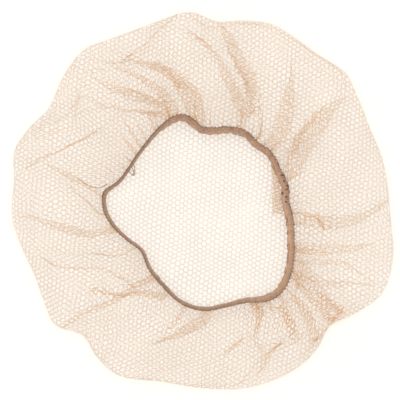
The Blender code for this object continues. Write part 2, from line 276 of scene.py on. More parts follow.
def knit(sheet, thickness, tone_and_shade):
    """Turns the cell walls into threads that swell at the knots, and closes their ends."""
    shade_points(sheet, tone_and_shade)
    shape = bmesh.new()
    shape.from_mesh(sheet.data)
    knots = len(shape.verts)
    bmesh.ops.subdivide_edges(shape, edges=shape.edges, cuts=1)
    shape.to_mesh(sheet.data)
    shape.free()
    thickness = np.append(thickness, np.zeros(len(sheet.data.vertices) - knots))
    wall_ends = np.full((len(thickness), 2), -1)
    for edge in sheet.data.edges:
        low, high = sorted(edge.vertices)
        wall_ends[high, int(wall_ends[high, 0] >= 0)] = low
    thickness[knots:] = thickness[wall_ends[knots:]].mean(axis=1) * THREAD_SHARE
    swell = sheet.vertex_groups.new(name="yarn")
    for number, share in enumerate(thickness / thickness.max()):
        swell.add([number], share, "REPLACE")
    bpy.ops.object.select_all(action="DESELECT")
    sheet.select_set(True)
    bpy.context.view_layer.objects.active = sheet
    threads = sheet.modifiers.new("threads", "WIREFRAME")
    threads.thickness = float(thickness.max())
    threads.vertex_group = "yarn"
    threads.thickness_vertex_group = 0.0
    threads.offset = 0.0
    threads.use_even_offset = False
    threads.use_replace = True
    threads.use_boundary = True
    bpy.ops.object.modifier_apply(modifier="threads")
    sheet.vertex_groups.clear()
    bpy.ops.object.shade_smooth_by_angle(angle=SMOOTH_ANGLE)


def knit_halves(sheet, names, thickness, tone_and_shade):
    """Parts the cells right and left of the middle and knits each half as its own piece."""
    other = sheet.copy()
    other.data = sheet.data.copy()
    bpy.context.scene.collection.objects.link(other)
    for piece, name, on_right in ((sheet, names[0], True), (other, names[1], False)):
        piece.name = name
        knots = keep_cells(piece, lambda middles: (middles[:, 0] >= 0) == on_right)
        knit(piece, thickness[knots], tone_and_shade[knots])
        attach(piece, "root")
        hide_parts("net_crown")


def blank_polar(flat):
    """Bearing and reach of places on the blank, and the reach where it has turned up."""
    bearing = np.degrees(np.arctan2(flat[:, 1], flat[:, 0])) % 360
    reach = np.hypot(flat[:, 0], flat[:, 1])
    return bearing, reach, NET_REACH * outline("reach", bearing) - EDGE_TURN + EDGE_LENGTH


def slacken(flat):
    """Moves places on the blank a little, as no knitted cell is quite like the next."""
    slack = np.zeros_like(flat)
    for axis in (0, 1):
        for stray, length, seed in SLACK:
            slack[:, axis] += stray * ripples(flat[:, 0], flat[:, 1], length, seed + axis)
    return flat + slack


def lay_lower(flat):
    """Lays places of the blank's middle on the table and turns its edge up."""
    bearing, reach, turned = blank_polar(flat)
    turn_up = turned - EDGE_LENGTH
    spots = np.zeros((len(flat), 3))
    run = np.clip(reach - turn_up, 0, EDGE_LENGTH)
    out = np.where(reach > turn_up, turn_up + np.interp(run, quarter_lengths, quarter_out), reach)
    spots[:, :2] = on_level(bearing, out)
    loose = LOOSE_LIFT * (1 + ripples(flat[:, 0], flat[:, 1], LOOSE_LENGTH, 41))
    spots[:, 2] = np.interp(run, quarter_lengths, quarter_up) + np.maximum(loose, 0)
    return spots


def soft_yarn_group():
    """Shared shading of knitted yarn: patches of colour and the roughness of its fibres."""
    group = bpy.data.node_groups.new("soft_yarn", "ShaderNodeTree")
    for name, kind, way in (
        ("Open Yarn", "NodeSocketColor", "INPUT"),
        ("Dark Yarn", "NodeSocketColor", "INPUT"),
        ("Patch Scale", "NodeSocketFloat", "INPUT"),
        ("Patch Depth", "NodeSocketFloat", "INPUT"),
        ("Fibre Scale", "NodeSocketFloat", "INPUT"),
        ("Color", "NodeSocketColor", "OUTPUT"),
        ("Fibres", "NodeSocketFloat", "OUTPUT"),
    ):
        group.interface.new_socket(name=name, in_out=way, socket_type=kind)
    nodes, links = group.nodes, group.links
    given = nodes.new("NodeGroupInput")
    result = nodes.new("NodeGroupOutput")
    place = nodes.new("ShaderNodeTexCoord")
    patches = nodes.new("ShaderNodeTexNoise")
    fibres = nodes.new("ShaderNodeTexNoise")
    depth = nodes.new("ShaderNodeMath")
    depth.operation = "MULTIPLY_ADD"
    lowest = nodes.new("ShaderNodeMath")
    lowest.operation = "SUBTRACT"
    lowest.inputs[0].default_value = 1.0
    shade = nodes.new("ShaderNodeMix")
    shade.data_type = "RGBA"
    shade.blend_type = "MULTIPLY"
    shade.inputs["Factor"].default_value = 1.0
    links.new(place.outputs["Object"], patches.inputs["Vector"])
    links.new(place.outputs["Object"], fibres.inputs["Vector"])
    links.new(given.outputs["Patch Scale"], patches.inputs["Scale"])
    links.new(given.outputs["Fibre Scale"], fibres.inputs["Scale"])
    links.new(given.outputs["Patch Depth"], lowest.inputs[1])
    links.new(patches.outputs["Fac"], depth.inputs[0])
    links.new(given.outputs["Patch Depth"], depth.inputs[1])
    links.new(lowest.outputs[0], depth.inputs[2])
    # Each point's share of the darker colour holds painted shade as well as the yarn's tone
    tone_and_shade = nodes.new("ShaderNodeAttribute")
    tone_and_shade.attribute_name = "tone_and_shade"
    yarns = nodes.new("ShaderNodeMix")
    yarns.data_type = "RGBA"
    links.new(tone_and_shade.outputs["Fac"], yarns.inputs["Factor"])
    links.new(given.outputs["Open Yarn"], yarns.inputs["A"])
    links.new(given.outputs["Dark Yarn"], yarns.inputs["B"])
    links.new(yarns.outputs["Result"], shade.inputs["A"])
    links.new(depth.outputs[0], shade.inputs["B"])
    links.new(shade.outputs["Result"], result.inputs["Color"])
    links.new(fibres.outputs["Fac"], result.inputs["Fibres"])
    return group


def yarn_material(name, open_colour, dark_colour, patch_scale, patch_depth, fibre_scale, bump):
    """A matt yarn with colour patches and fine fibres, whose lit edges are a little soft."""
    material = bpy.data.materials.new(name)
    material.use_nodes = True
    nodes, links = material.node_tree.nodes, material.node_tree.links
    shader = nodes["Principled BSDF"]
    shader.inputs["Roughness"].default_value = YARN_ROUGHNESS
    shader.inputs["Specular IOR Level"].default_value = YARN_SPECULAR
    shader.inputs["Sheen Weight"].default_value = YARN_SHEEN
    soft = nodes.new("ShaderNodeGroup")
    soft.node_tree = soft_yarn
    soft.inputs["Open Yarn"].default_value = open_colour
    soft.inputs["Dark Yarn"].default_value = dark_colour
    soft.inputs["Patch Scale"].default_value = patch_scale
    soft.inputs["Patch Depth"].default_value = patch_depth
    soft.inputs["Fibre Scale"].default_value = fibre_scale
    relief = nodes.new("ShaderNodeBump")
    relief.inputs["Distance"].default_value = bump
    links.new(soft.outputs["Color"], shader.inputs["Base Color"])
    links.new(soft.outputs["Fibres"], relief.inputs["Height"])
    links.new(relief.outputs["Normal"], shader.inputs["Normal"])
    return material


soft_yarn = soft_yarn_group()
tan_nylon = yarn_material(
    "tan_nylon", OPEN_COLOUR, FOLD_SHADE_COLOUR,
    patch_scale=38.0, patch_depth=0.16, fibre_scale=3500.0, bump=0.00005,
)

lower = honeycomb("net_lower_layer", 2 * NET_REACH, 2 * NET_REACH)


def in_lower(middles):
    bearing, reach, turned = blank_polar(middles)
    return reach <= turned


keep_cells(lower, in_lower)
flat = slacken(read_points(lower)[:, :2])
bearing = blank_polar(flat)[0]
spots = lay_lower(flat)
spots[:, :2] -= lying_centre
spots[:, 2] += KNOT_THICK * yarn("lower", bearing) / 2
write_points(lower, spots)
lower.data.materials.append(tan_nylon)
thickness = KNOT_THICK * yarn("lower", bearing)
knit_halves(lower, ("net_lower_right", "net_lower_left"), thickness, np.zeros(len(flat)))

# Upper layer of the net
# The rest of the blank comes back in over the lower layer, swelling, to the elastic, where
# it is gathered under the band. Its spare width is laid in folds: the net goes forward, back
# and forward again, so that a fold shows as a darker band of three layers with crisp edges;
# its layers and edges are also painted darker, as painted shade.
MOUTH_REACH = 0.0716
NET_PUFF = 0.016
BAND_WIDTH = 0.0052
BAND_THICK = 0.001
BAND_HEIGHT = 0.015
SEAT_GAP = 0.0003
SEAT_MARGIN = 0.0008
START_SHIFT = 8.0
EDGE_CROWDING = 0.15

MOUTH_COLUMNS = ("bearing", "reach", "height", "lean")
MOUTH = (
    (0, 0.915, 1.00, 14), (10, 0.925, 1.02, 18), (20, 0.899, 1.04, 24), (35, 0.897, 1.02, 28),
    (47, 0.857, 0.98, 26), (59, 0.872, 1.04, 22), (69, 0.840, 1.12, 18), (80, 0.788, 1.20, 18),
    (89, 0.779, 1.24, 26), (95, 0.820, 1.28, 26), (101, 0.923, 1.28, 18), (108, 0.960, 1.20, 24),
    (120, 0.934, 1.06, 54), (135, 0.893, 0.94, 67), (150, 0.888, 0.88, 70),
    (161, 0.918, 0.88, 70), (169, 0.980, 0.90, 66), (175, 1.090, 0.94, 60),
    (183, 1.102, 0.98, 60), (192, 1.060, 0.96, 64), (205, 0.960, 0.88, 68),
    (219, 0.880, 0.84, 68), (232, 0.962, 0.86, 67), (245, 1.042, 0.92, 67),
    (258, 1.154, 0.98, 65), (270, 1.202, 1.00, 63), (283, 1.188, 1.00, 60),
    (294, 1.210, 0.98, 50), (303, 1.294, 0.96, 30), (311, 1.304, 0.94, 14),
    (322, 1.213, 0.94, 10), (336, 1.067, 0.96, 10), (350, 0.969, 0.98, 12),
)

# Shares of the way from the elastic out to the edge, and how high the layer swells there;
# the same for how much of a fold's height is left
SWELL_ACROSS = (0.0, 0.015, 0.06, 0.14, 0.25, 0.38, 0.51, 0.64, 0.755, 0.855, 0.935, 1.0)
SWELL_PUFF = (0.0, 0.26, 0.55, 0.77, 0.92, 1.0, 1.0, 0.91, 0.74, 0.51, 0.26, 0.0)
LIFT_ACROSS = (0, 0.05, 0.14, 0.9, 1)
LIFT_SHARE = (0, 0.3, 1, 1, 0.3)

# Folds from their outer to their inner ends: points in millimetres from the middle with the
# fold's width there, how many times it is folded, how high it stands, and its side on top
FOLDS = (
    (((-146, -12, 1.6), (-134, -13, 3.2), (-124, -17, 4.8), (-112, -21, 7.2), (-100, -24, 7.2),
     (-89, -27, 5.6), (-80, -25, 5.6), (-72, -23, 7.2)), 1, 1.8, 1),
    (((-122, 27, 2.4), (-112, 23, 4.0), (-103, 18, 6.4), (-95, 14, 4.8), (-88, 10, 3.2),
     (-81, 4, 3.2)), 1, 1.2, 1),
    (((-106, 12, 1.6), (-98, 6, 2.0), (-90, -1, 2.4), (-82, -10, 3.2)), 1, 0.8, -1),
    (((-140, 25, 1.6), (-126, 34, 2.0), (-112, 40, 2.0), (-100, 46, 2.4), (-90, 51, 2.0),
     (-80, 57, 1.6)), 1, 1.2, 1),
    (((-130, 55, 1.6), (-114, 57, 2.0), (-102, 63, 2.0), (-86, 67, 2.4), (-74, 69, 2.0),
     (-62, 71, 2.4), (-50, 70, 4.8), (-40, 69, 6.4), (-30, 68, 6.4)), 1, 1.2, -1),
    (((-98, 94, 1.6), (-88, 86, 2.4), (-80, 80, 3.2), (-72, 77, 2.4), (-62, 76, 2.4)), 1, 0.8, 1),
    (((-90, 99, 3.2), (-82, 94, 4.8), (-72, 88, 5.6), (-62, 85, 7.2), (-54, 83, 10.4),
     (-44, 80, 8.8), (-34, 77, 8.0), (-28, 72, 6.4)), 1, 2.2, 1),
    (((-70, 105, 2.4), (-58, 101, 4.8), (-48, 96, 6.4), (-38, 90, 8.0), (-30, 82, 9.6),
     (-24, 74, 9.6)), 1, 2.2, -1),
    (((-60, 112, 2.4), (-42, 107, 6.4), (-31, 103, 8.8), (-21, 96, 11.2), (-13, 87, 14.4),
     (-7, 77, 16.0), (-4, 68, 14.4)), 1, 2.4, 1),
    (((-34, 108, 2.4), (-29, 104, 5.6), (-24, 98, 4.8), (-20, 90, 3.2)), 1, 1.4, -1),
    (((-23, 149, 2.4), (-29, 140, 2.4), (-37, 129, 2.0), (-44, 121, 2.4), (-54, 114, 1.6)), 1,
     1.0, -1),
    (((-11, 134, 1.6), (-4, 128, 3.2), (4, 122, 5.6), (11, 114, 7.2), (16, 105, 8.8),
     (20, 95, 10.4), (26, 84, 12.0), (31, 73, 12.8), (32, 63, 9.6)), 1, 2.2, -1),
    (((16, 136, 4.0), (20, 129, 9.6), (25, 120, 12.0), (30, 110, 12.8), (35, 99, 12.8),
     (39, 89, 12.8), (41, 79, 12.0), (42, 71, 9.6)), 1, 2.6, 1),
    (((20, 121, 1.6), (25, 111, 4.0), (30, 102, 5.6), (34, 93, 7.2), (37, 85, 8.0), (38, 77, 7.2),
     (38, 68, 5.6)), 1, 1.6, -1),
    (((46, 77, 1.6), (46, 70, 3.2), (46, 61, 4.0), (46, 52, 4.0)), 2, 1.6, 1),
    (((71, 111, 1.2), (70, 100, 4.0), (69, 90, 8.0), (68, 81, 12.0), (66, 69, 15.2),
     (63, 57, 16.8), (60, 48, 14.4)), 1, 2.2, -1),
    (((114, 83, 1.6), (104, 75, 6.4), (96, 67, 13.6), (88, 57, 17.6), (80, 45, 19.2),
     (75, 33, 16.0), (70, 21, 12.8)), 1, 3.0, 1),
    (((97, 75, 2.4), (88, 67, 5.6), (80, 58, 7.2), (75, 49, 8.0), (70, 39, 7.2)), 1, 2.0, -1),
    (((147, -1, 2.4), (140, -5, 6.4), (131, -11, 7.2), (120, -15, 8.8), (109, -17, 11.2),
     (96, -17, 12.8), (84, -15, 13.6), (76, -14, 12.0)), 1, 1.8, -1),
    (((95, -23, 2.0), (92, -16, 2.4), (86, -12, 2.8), (80, -10, 2.8), (76, -9, 3.2)), 1, 1.2, 1),
    (((136, -35, 2.4), (126, -36, 4.8), (118, -38, 6.4), (108, -38, 8.8), (98, -38, 9.6),
     (86, -37, 8.8), (76, -38, 8.8)), 1, 1.4, 1),
    (((98, -42, 1.6), (88, -40, 4.0), (80, -40, 6.4), (75, -40, 8.0)), 1, 1.2, -1),
    (((138, -65, 1.6), (128, -60, 2.8), (120, -55, 3.6), (112, -50, 4.0), (103, -49, 4.8),
     (92, -49, 4.8), (82, -49, 5.6), (76, -47, 4.8)), 1, 1.4, 1),
    (((136, -69, 2.4), (126, -67, 4.0), (118, -66, 4.0), (108, -66, 5.6), (98, -65, 7.2),
     (90, -62, 8.8), (83, -58, 9.6), (76, -54, 8.8)), 1, 1.8, -1),
    (((108, -87, 7.2), (102, -83, 9.6), (96, -78, 10.4), (92, -72, 9.6), (85, -67, 9.6),
     (77, -63, 8.8), (72, -60, 8.0)), 1, 2.4, 1),
    (((108, -86, 7.2), (102, -82, 6.4), (96, -77, 4.8), (92, -73, 2.4)), 1, 1.6, -1),
    (((102, -94, 8.0), (92, -84, 7.2), (84, -75, 6.4), (75, -67, 5.6)), 1, 1.4, -1),
    (((88, -107, 9.6), (84, -94, 8.8), (79, -84, 7.2), (72, -76, 6.4)), 1, 2.0, 1),
    (((73, -108, 10.4), (70, -99, 8.8), (66, -91, 8.0), (62, -83, 7.2)), 2, 2.6, 1),
    (((44, -137, 3.2), (50, -127, 5.0), (54, -120, 5.0), (59, -114, 5.0), (64, -111, 4.2)), 1,
     1.5, 1),
    (((47, -119, 1.6), (42, -111, 3.2), (42, -103, 4.0), (44, -95, 4.8), (45, -89, 8.0),
     (44, -84, 9.6)), 2, 2.2, -1),
    (((17, -121, 2.4), (24, -116, 4.0), (32, -110, 2.4)), 1, 1.0, -1),
    (((-40, -112, 1.6), (-33, -110, 3.2), (-24, -107, 5.6), (-16, -103, 8.0), (-8, -99, 9.6),
     (0, -95, 10.4), (4, -89, 9.6)), 1, 2.0, 1),
    (((-29, -103, 1.6), (-23, -97, 3.2), (-18, -91, 4.8), (-15, -87, 4.8)), 1, 1.4, -1),
    (((-113, -101, 1.6), (-104, -95, 3.2), (-96, -89, 4.0), (-87, -86, 5.6), (-79, -83, 5.6),
     (-69, -78, 5.6), (-60, -73, 6.4), (-54, -68, 6.4), (-48, -65, 6.4), (-42, -63, 6.4)), 1, 1.8,
     1),
    (((-88, -71, 3.2), (-83, -69, 4.8), (-78, -71, 4.8), (-72, -74, 4.0), (-64, -75, 3.2)), 1,
     1.4, -1),
    (((-60, -74, 3.2), (-52, -73, 4.0), (-43, -73, 5.6), (-35, -75, 6.4), (-30, -76, 6.4)), 1,
     1.4, -1),
    (((-90, -40, 1.2), (-78, -43, 2.0), (-69, -44, 2.4), (-61, -43, 2.0), (-56, -39, 1.6)), 1,
     0.8, 1),
    (((-128, -44, 1.2), (-120, -50, 1.6), (-112, -53, 2.0), (-102, -53, 2.4), (-92, -53, 2.4),
     (-82, -53, 2.0), (-73, -56, 2.4), (-65, -60, 2.4), (-58, -66, 2.4)), 1, 1.0, 1),
)

# Fine creases: points in millimetres, and how strongly the threads close up on the line
# and are painted darker there, as painted shade
CREASES = (
    (((-93, 114), (-69, 109), (-52, 106), (-32, 101)), 0.7),
    (((-71, 119), (-52, 113), (-34, 106)), 0.4),
    (((-106, 109), (-85, 100), (-66, 92), (-44, 82)), 0.7),
    (((-101, 100), (-90, 89), (-78, 85)), 0.5),
    (((-120, 65), (-111, 76), (-96, 80)), 0.4),
    (((-132, 49), (-122, 53), (-98, 58), (-69, 65), (-28, 71)), 0.5),
    (((-149, 45), (-133, 55), (-120, 68), (-111, 90), (-101, 113)), 0.4),
    (((-135, 20), (-133, 1), (-133, -19)), 0.3),
    (((-125, -38), (-101, -43), (-79, -42), (-56, -38)), 0.4),
    (((-143, -35), (-127, -63), (-117, -92)), 0.3),
    (((-95, -105), (-85, -121), (-66, -139)), 0.5),
    (((-69, -83), (-74, -95), (-76, -105)), 0.3),
    (((-44, -83), (-42, -105)), 0.3),
    (((-34, -134), (-8, -127), (17, -132), (40, -137)), 0.4),
    (((17, -118), (30, -108)), 0.6),
    (((-66, -140), (-18, -147), (27, -147), (43, -140)), 0.4),
    (((62, -113), (81, -113), (97, -107), (107, -92)), 0.8),
    (((30, -145), (49, -121), (62, -113)), 0.8),
    (((43, -137), (62, -132), (81, -121), (94, -108)), 0.3),
    (((113, -63), (142, -68)), 0.4),
    (((75, -60), (104, -63), (136, -67)), 0.5),
    (((81, -44), (110, -47), (132, -60)), 0.5),
    (((75, -19), (83, -14), (91, -10), (95, -22)), 0.7),
    (((81, -26), (89, -27), (98, -22)), 0.6),
    (((14, 142), (43, 141), (59, 137), (88, 119), (113, 102)), 0.8),
    (((62, 132), (76, 116), (94, 101)), 0.4),
    (((84, 119), (91, 106), (112, 93)), 0.4),
    (((111, 101), (114, 92)), 0.8),
    (((120, 81), (132, 55), (142, 33)), 0.4),
    (((-8, 145), (4, 138), (17, 138)), 0.7),
    (((-34, 141), (-12, 150), (8, 145)), 0.4),
)
CREASE_PULL = 0.0034
CREASE_DRAW = 0.85

# Places where the net lies in bunches, drawn as thicker threads painted darker, as painted
# shade: x, y and reach in millimetres, and how strongly
BUNCHES = (
    (-22, 86, 20, 0.50), (-52, 92, 14, 0.25), (12, 136, 7, 0.45), (30, 92, 10, 0.25),
    (80, -84, 22, 0.36), (43, -88, 9, 1.20), (64, -95, 12, 1.00), (101, -84, 11, 0.90),
    (-84, -72, 7, 0.45), (-50, -66, 10, 0.30), (-14, -98, 12, 0.20), (90, 62, 10, 0.30),
    (69, 80, 10, 0.30), (66, 60, 10, 0.40), (100, -17, 12, 0.25), (86, -40, 9, 0.25),
    (74, 20, 6, 0.35),
)

# How densely the blank is gathered to the elastic: more at the folds, less between them
GATHER_COLUMNS = ("bearing", "density")
GATHER = (
    (0, 1.05), (28, 0.95), (52, 1.20), (72, 1.15), (92, 1.20), (115, 1.40), (135, 1.20),
    (160, 0.80), (190, 0.75), (220, 0.95), (245, 0.85), (268, 0.75), (288, 0.95), (306, 1.45),
    (325, 1.30), (345, 1.10),
)
FOLD_END_FADE = 0.03
RING_REACH = 0.09
DRAWN_FROM = 0.034
FULL_LAP = 0.0015
TAIL_START = 1.1  # in laps past a fold's edge, where its height runs out
TAIL_RUN = 1.2
TWICE_NARROWER = 0.4  # a place folded twice has two narrower laps, set apart
TWICE_SHIFT = 0.2
SMALL_GATHERS = 64
GATHER_STRAY = 0.38
GATHER_REACH = (0.08, 0.40)
GATHER_LAP = (0.0008, 0.0030)
GATHER_HEIGHT = (0.0004, 0.0010)
SAG_HEIGHT = 0.0014
SAG_LENGTH = 0.030
CRUMPLE = 0.00025
BUNCHED_SWELL = 0.26
UPPER_SHADE = 0.53
# How much darker each overlapping fold layer and each fold's creased edge are painted, as shade
OVERLAP_PAINTED_SHADE = 0.32
CREASE_PAINTED_SHADE = 0.42
CREASE_WIDTH = 0.0016
PATCH_LENGTH = 0.007

mouth = round_table(MOUTH, MOUTH_COLUMNS)
mouth_path = on_level(edge_bearings, MOUTH_REACH * mouth("reach", edge_bearings))
mouth_steps = np.hypot(*np.diff(mouth_path, axis=0).T)
mouth_lengths = np.concatenate([[0.0], np.cumsum(mouth_steps)])
MOUTH_LENGTH = float(mouth_lengths[-1])


def band_frame(turn):
    """Middle of the elastic at shares of its length, its way in and its upper side's way up."""
    bearing = np.interp((np.asarray(turn) % 1) * MOUTH_LENGTH, mouth_lengths, edge_bearings)
    level = on_level(bearing, MOUTH_REACH * mouth("reach", bearing))
    height = BAND_HEIGHT * mouth("height", bearing)
    middle = np.concatenate([level, height[..., None]], axis=-1)
    ahead = on_level(bearing + 0.5, MOUTH_REACH * mouth("reach", bearing + 0.5))
    behind = on_level(bearing - 0.5, MOUTH_REACH * mouth("reach", bearing - 0.5))
    along = ahead - behind
    along /= np.linalg.norm(along, axis=-1)[..., None]
    lean = np.radians(mouth("lean", bearing))
    out_x, out_y = along[..., 1], -along[..., 0]
    inward = np.stack([-out_x * np.cos(lean), -out_y * np.cos(lean), -np.sin(lean)], axis=-1)
    upward = np.stack([-out_x * np.sin(lean), -out_y * np.sin(lean), np.cos(lean)], axis=-1)
    return middle, inward, upward


def seat(turn, inset):
    """Points of the net under the elastic, inset from the middle of its width."""
    middle, inward, upward = band_frame(turn)
    return middle + inward * np.asarray(inset)[..., None] - upward * (BAND_THICK / 2 + SEAT_GAP)


def smooth_upper(bearing, across):
    """Points of the smooth upper layer: across is 1 at the outer edge and 0 at the elastic."""
    turn = (bearing - START_SHIFT) / 360
    inner = seat(turn, np.full(np.shape(turn), -BAND_WIDTH / 2 - SEAT_MARGIN))
    level = on_level(bearing, NET_REACH * outline("reach", bearing))
    outer = np.concatenate([level, np.full(level[..., :1].shape, EDGE_HEIGHT)], axis=-1)
    spots = inner + (outer - inner) * across[..., None]
    swell = np.interp(across, SWELL_ACROSS, SWELL_PUFF)
    spots[..., 2] += NET_PUFF * outline("puff", bearing) * swell
    return spots


def ease(share):
    """0 to 1 with a soft start and end."""
    share = np.clip(share, 0, 1)
    return share * share * (3 - 2 * share)


grid_bearings = np.arange(0.0, 360.0, 0.5)
grid_across = np.linspace(0, 1, 81)
grid_b, grid_a = np.meshgrid(grid_bearings, grid_across, indexing="ij")
grid_spots = smooth_upper(grid_b, grid_a)[..., :2] - lying_centre
round_steps = np.diff(grid_spots, axis=0, append=grid_spots[:1])
metres_per_degree = np.hypot(round_steps[..., 0], round_steps[..., 1]).sum(axis=0) / 360


def edge_track(points):
    """A line's bearing at each share across of the grid, and the shares where it ends."""
    places = []
    for point in points:
        near = np.hypot(*(grid_spots - point).transpose(2, 0, 1))
        i, j = np.unravel_index(near.argmin(), near.shape)
        places.append((grid_across[j], grid_bearings[i]))
    shares = np.array([place[0] for place in places])
    bearings = np.unwrap([place[1] for place in places], period=360)
    order = np.argsort(shares, kind="stable")
    shares, bearings = shares[order], bearings[order]
    return np.interp(grid_across, shares, bearings), shares[0], shares[-1]


# Each fold becomes tracks: its middle's bearing and its overlap at each share across
tracks = []
for points, times, height, side in FOLDS:
    route = np.array(points) / 1000
    along = np.gradient(route[:, :2], axis=0)
    along /= np.linalg.norm(along, axis=1)[:, None]
    half = np.stack([-along[:, 1], along[:, 0]], axis=1) * route[:, 2:] / 2
    left, low_left, high_left = edge_track(route[:, :2] + half)
    right, low_right, high_right = edge_track(route[:, :2] - half)
    right += 360 * np.round((left[0] - right[0]) / 360)
    low, high = min(low_left, low_right), max(high_left, high_right)
    shown = ease((high + FOLD_END_FADE - grid_across) / FOLD_END_FADE)
    if low > RING_REACH:
        shown *= ease((grid_across - low + FOLD_END_FADE) / FOLD_END_FADE)
    middles = (left + right) / 2
    laps = np.abs(left - right) * shown
    middles -= middles[0] // 360 * 360
    for number in range(times):
        share = 1 - TWICE_NARROWER * (times > 1)
        shift = laps * TWICE_SHIFT * (2 * number - 1) * (times > 1)
        tracks.append((middles + shift, laps * share, height / 1000, side))
tracks.sort(key=lambda track: track[0][0])

gather = round_table(GATHER, GATHER_COLUMNS)

# Small gathers by the elastic, which follow the sweep of the main folds beside them
main_middles = np.array([track[0] for track in tracks])
main_middles = np.concatenate([main_middles - 360, main_middles, main_middles + 360])
chance = np.random.default_rng(17)
for number in range(SMALL_GATHERS):
    start = (number + chance.uniform(-GATHER_STRAY, GATHER_STRAY)) * 360 / SMALL_GATHERS
    sweep = [np.interp(start, main_middles[:, 0], column) for column in main_middles.T]
    reach_out = chance.uniform(*GATHER_REACH)
    lap = chance.uniform(*GATHER_LAP) * ease((reach_out - grid_across) / (0.8 * reach_out))
    lap = lap * np.clip(2.5 * gather("density", start) - 1.75, 0.1, 1.2)
    height = chance.uniform(*GATHER_HEIGHT)
    side = chance.choice([-1, 1])
    tracks.append((np.array(sweep), lap / metres_per_degree, height, side))
tracks.sort(key=lambda track: track[0][0])


def lay_folds(bearing, across):
    """New bearings of places on the upper layer once folded, their lift and their painted shade.
    """
    middles = np.array([np.interp(across, grid_across, track[0]) for track in tracks])
    laps = np.array([np.interp(across, grid_across, track[1]) for track in tracks])
    degree = np.interp(across, grid_across, metres_per_degree)
    heights = np.array([track[2] for track in tracks] * 3)[:, None]
    sides = np.array([track[3] for track in tracks] * 3)[:, None]
    middles = np.concatenate([middles - 360, middles, middles + 360])
    laps = np.tile(laps, (3, 1))
    reversals = middles + laps + 2 * (np.cumsum(laps, axis=0) - laps)
    drawn_from = laps + DRAWN_FROM / degree
    taken = laps * ease(0.5 + (bearing - middles) / (2 * drawn_from))
    path = bearing + 2 * taken.sum(axis=0)
    along = (path - reversals) / np.maximum(laps, 1e-4)
    laid = path - 2 * (laps * np.clip(along + 0.5, 0, 1)).sum(axis=0)
    over = along * sides
    raised = ease(over + 0.5) * (1 - ease((over - TAIL_START) / TAIL_RUN))
    shown = np.clip(laps * degree / FULL_LAP, 0, 1)
    lift = (heights * raised * shown).max(axis=0)
    edge = (laps / 2 - np.abs(laid - middles)) * degree
    layers = (ease(0.5 + edge / CREASE_WIDTH) * shown).sum(axis=0)
    crease = (np.exp(-(edge / (CREASE_WIDTH / 2)) ** 2) * shown).max(axis=0)
    return laid, lift, np.clip(OVERLAP_PAINTED_SHADE * layers + CREASE_PAINTED_SHADE * crease, 0, 1)


gather_bearings = np.arange(0.0, 361.0)
gathered = np.concatenate([[0.0], np.cumsum(gather("density", gather_bearings[1:] - 0.5))])
gathered *= 360 / gathered[-1]
drawn_mean = (gather_bearings - gathered).mean()


def draw_round(bearing, across):
    """New bearings of places on the blank, drawn towards the dense parts near the elastic."""
    drawn = np.interp(bearing % 360, gathered, gather_bearings) - bearing % 360
    return bearing + (drawn - drawn_mean) * (1 - across)


def press_creases(spots, tone_and_shade):
    """Closes the threads up along the fine creases, and paints shade along them and in bunches."""
    for points, strength in CREASES:
        route = np.array(points) / 1000
        nearest = np.zeros((len(spots), 2))
        gap = np.full(len(spots), 1.0)
        for start, end in zip(route[:-1], route[1:]):
            way = end - start
            along = np.clip((spots[:, :2] - start) @ way / (way @ way), 0, 1)
            foot = start + along[:, None] * way
            away = np.hypot(*(spots[:, :2] - foot).T)
            nearer = away < gap
            nearest[nearer], gap[nearer] = foot[nearer], away[nearer]
        pull = strength * np.exp(-(gap / CREASE_PULL) ** 2)
        spots[:, :2] += (nearest - spots[:, :2]) * (CREASE_DRAW * pull)[:, None]
        tone_and_shade = np.maximum(tone_and_shade, strength * np.exp(-(gap / (0.7 * CREASE_PULL)) ** 2))
    for x, y, reach, strength in BUNCHES:
        away = np.hypot(spots[:, 0] - x / 1000, spots[:, 1] - y / 1000)
        uneven = 0.75 + 0.25 * ripples(spots[:, 0], spots[:, 1], PATCH_LENGTH, 101)
        tone_and_shade = tone_and_shade + strength * uneven * np.exp(-(away * 1000 / reach) ** 2)
    return UPPER_SHADE + (1 - UPPER_SHADE) * np.clip(tone_and_shade, 0, 1)


across_steps = np.linspace(1, 0, 400)
rise_steps = NET_PUFF * np.interp(across_steps, SWELL_ACROSS, SWELL_PUFF)
way_steps = np.hypot(np.diff(across_steps) * (NET_REACH - MOUTH_REACH), np.diff(rise_steps))
across_lengths = np.concatenate([[0.0], np.cumsum(way_steps)])
across_lengths /= across_lengths[-1]


def lay_upper(flat):
    """Lays places of the blank's outer part in over its middle, and gives their painted shade."""
    bearing, reach, start = blank_polar(flat)
    seat_start = BLANK_RADIUS - BAND_WIDTH / 2 - SEAT_MARGIN
    share = np.clip((reach - start) / (seat_start - start), 0, 1)
    crowded = share + EDGE_CROWDING * (share * share - share)
    across = np.interp(crowded, across_lengths, across_steps)
    laid, lift, tone_and_shade = lay_folds(draw_round(bearing, across), across)
    body = smooth_upper(laid, across)
    swell = np.interp(across, SWELL_ACROSS, SWELL_PUFF)
    body[:, 2] += lift * np.interp(across, LIFT_ACROSS, LIFT_SHARE)
    body[:, 2] += SAG_HEIGHT * swell * ripples(flat[:, 0], flat[:, 1], SAG_LENGTH, 51)
    crumples = np.random.default_rng(61).normal(size=body.shape)
    body += crumples * (CRUMPLE * tone_and_shade)[:, None] * (1, 1, 2)
    past = np.maximum(reach - seat_start, 0)
    under_band = seat((laid - START_SHIFT) / 360, past - BAND_WIDTH / 2 - SEAT_MARGIN)
    return np.where((past > 0)[:, None], under_band, body), tone_and_shade


upper = honeycomb("net_upper_layer", 2 * BLANK_RADIUS, 2 * BLANK_RADIUS)


def in_upper(middles):
    bearing, reach, turned = blank_polar(middles)
    return (reach > turned) & (reach < BLANK_RADIUS - CELL_PITCH / 2)


